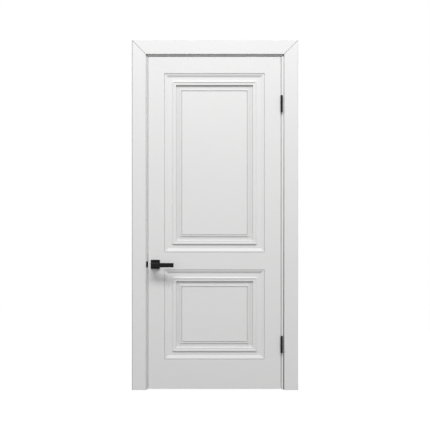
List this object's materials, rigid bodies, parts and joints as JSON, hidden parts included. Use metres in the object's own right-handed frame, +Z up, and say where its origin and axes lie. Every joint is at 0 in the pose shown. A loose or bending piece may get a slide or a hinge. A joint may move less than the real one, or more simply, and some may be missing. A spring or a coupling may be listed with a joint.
{
  "type": "panelled interior door with frame",
  "caption": "White painted MDF door leaf with milled panel mouldings, hung on hinges in a rebated frame with flat mitred architraves, with lever handles and a magnetic latch.",
  "frame": {"origin": "on the floor, midway across the frame and midway through the thickness of the closed leaf", "axes": "+X across the door from the lock side to the hinge side, +Z up, -Y towards the side that the leaf opens to"},
  "size_m": [1, 0.16, 2.102],
  "materials": {
    "frame_paint": "satin white enamel on MDF",
    "leaf_paint": "satin white enamel on MDF",
    "seal_rubber": "soft pale grey elastomer",
    "core_timber": "sawn softwood",
    "core_infill": "light chipboard infill",
    "zinc_steel": "zinc plated",
    "fitting_plastic": "matt black nylon",
    "black_fitting": "matt black powder coat"
  },
  "bodies": {
    "frame": {"lock_jamb": "frame_paint", "hinge_jamb": "frame_paint", "head_jamb": "frame_paint", "front_architrave_lock": "frame_paint", "front_architrave_hinge": "frame_paint", "front_architrave_head": "frame_paint", "rear_architrave_lock": "frame_paint", "rear_architrave_hinge": "frame_paint", "rear_architrave_head": "frame_paint", "lock_seal": "seal_rubber", "hinge_seal": "seal_rubber", "head_seal": "seal_rubber", "corner_screws": "zinc_steel", "upper_jamb_flap": "black_fitting", "lower_jamb_flap": "black_fitting", "upper_hinge_pin": "black_fitting", "lower_hinge_pin": "black_fitting", "jamb_flap_screws": "black_fitting", "strike_plate": "black_fitting", "strike_box": "fitting_plastic", "strike_magnet": "zinc_steel", "strike_screws": "black_fitting"},
    "leaf": {"front_skin": "leaf_paint", "rear_skin": "leaf_paint", "lock_stile": "core_timber", "hinge_stile": "core_timber", "top_rail": "core_timber", "mid_rail": "core_timber", "bottom_rail": "core_timber", "upper_infill": "core_infill", "lower_infill": "core_infill", "upper_leaf_flap": "black_fitting", "lower_leaf_flap": "black_fitting", "leaf_flap_screws": "black_fitting", "lock_case": "zinc_steel", "lock_cover": "zinc_steel", "lock_forend": "black_fitting", "forend_screws": "black_fitting", "front_rosette_base": "fitting_plastic", "rear_rosette_base": "fitting_plastic", "rosette_screws": "zinc_steel", "front_rosette": "black_fitting", "rear_rosette": "black_fitting"},
    "levers": {"front_lever": "black_fitting", "rear_lever": "black_fitting", "spindle": "zinc_steel", "follower": "zinc_steel", "grub_screws": "zinc_steel"},
    "retractor": {"retractor": "zinc_steel"},
    "latch": {"latch_bolt": "zinc_steel"}
  },
  "joints": [
    {"name": "leaf_swing", "type": "hinge", "parent": "frame", "child": "leaf", "pos_m": [0.4008, -0.027, 0], "axis": [0, 0, 1], "range_deg": [0, 170]},
    {"name": "lever_turn", "type": "hinge", "parent": "leaf", "child": "levers", "pos_m": [-0.359, 0, 0.755], "axis": [0, 1, 0], "range_deg": [0, 40], "stiffness_Nm_per_rad": 1.5, "springref_deg": -28.65},
    {"name": "retractor_slide", "type": "slide", "parent": "leaf", "child": "retractor", "axis": [1, 0, 0], "range_m": [0, 0.0123]},
    {"name": "latch_slide", "type": "slide", "parent": "retractor", "child": "latch", "axis": [-1, 0, 0], "range_m": [0, 0.011], "stiffness_N_per_m": 40, "springref_m": -0.005}
  ],
  "couplings": [
    {"joint": "retractor_slide", "follows": "lever_turn", "m_per_rad": 0.0175}
  ]
}
